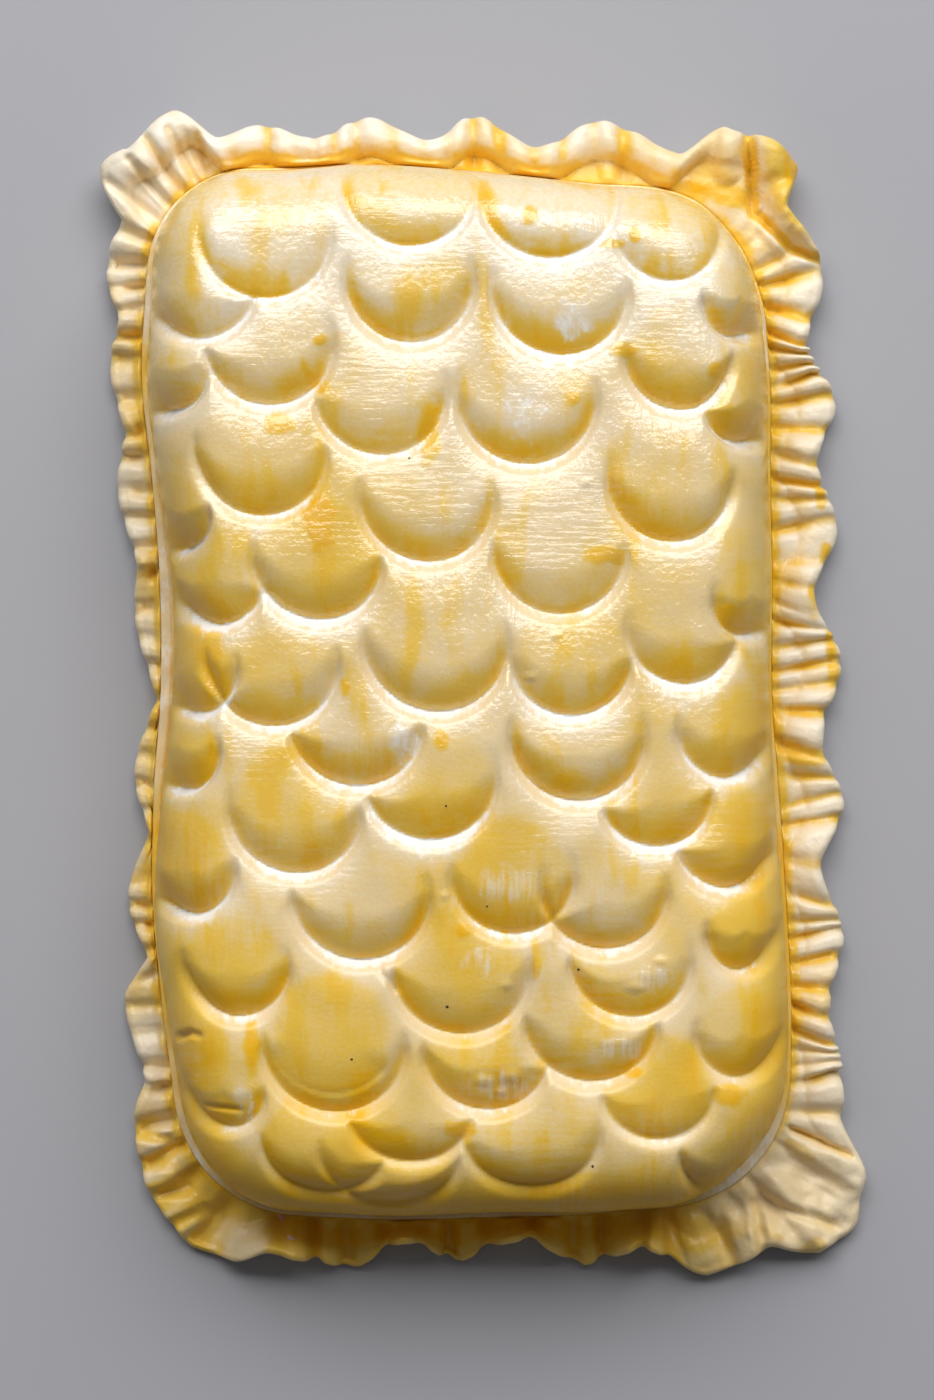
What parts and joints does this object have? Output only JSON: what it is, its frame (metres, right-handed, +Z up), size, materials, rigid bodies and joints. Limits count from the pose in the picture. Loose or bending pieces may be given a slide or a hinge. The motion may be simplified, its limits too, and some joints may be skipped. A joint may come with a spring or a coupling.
{
  "type": "salmon wellington",
  "caption": "Unbaked pastry parcel with a domed lid pressed into fish scales and a crimped, ruffled border round its foot, brushed with egg wash",
  "frame": {"origin": "on the flat underside, below the middle of the whole parcel's box", "axes": "+Z up, +Y along the long side away from the scales' tips, +X across the short side"},
  "size_m": [0.1826, 0.2776, 0.0476],
  "materials": {
    "glazed_pastry": "raw puff pastry brushed with egg wash, glossy, amber where the wash gathers",
    "border_pastry": "raw puff pastry, part brushed with egg wash, satin"
  },
  "bodies": {
    "root": {"scaled_lid": "glazed_pastry", "crimped_base": "border_pastry"}
  },
  "joints": []
}
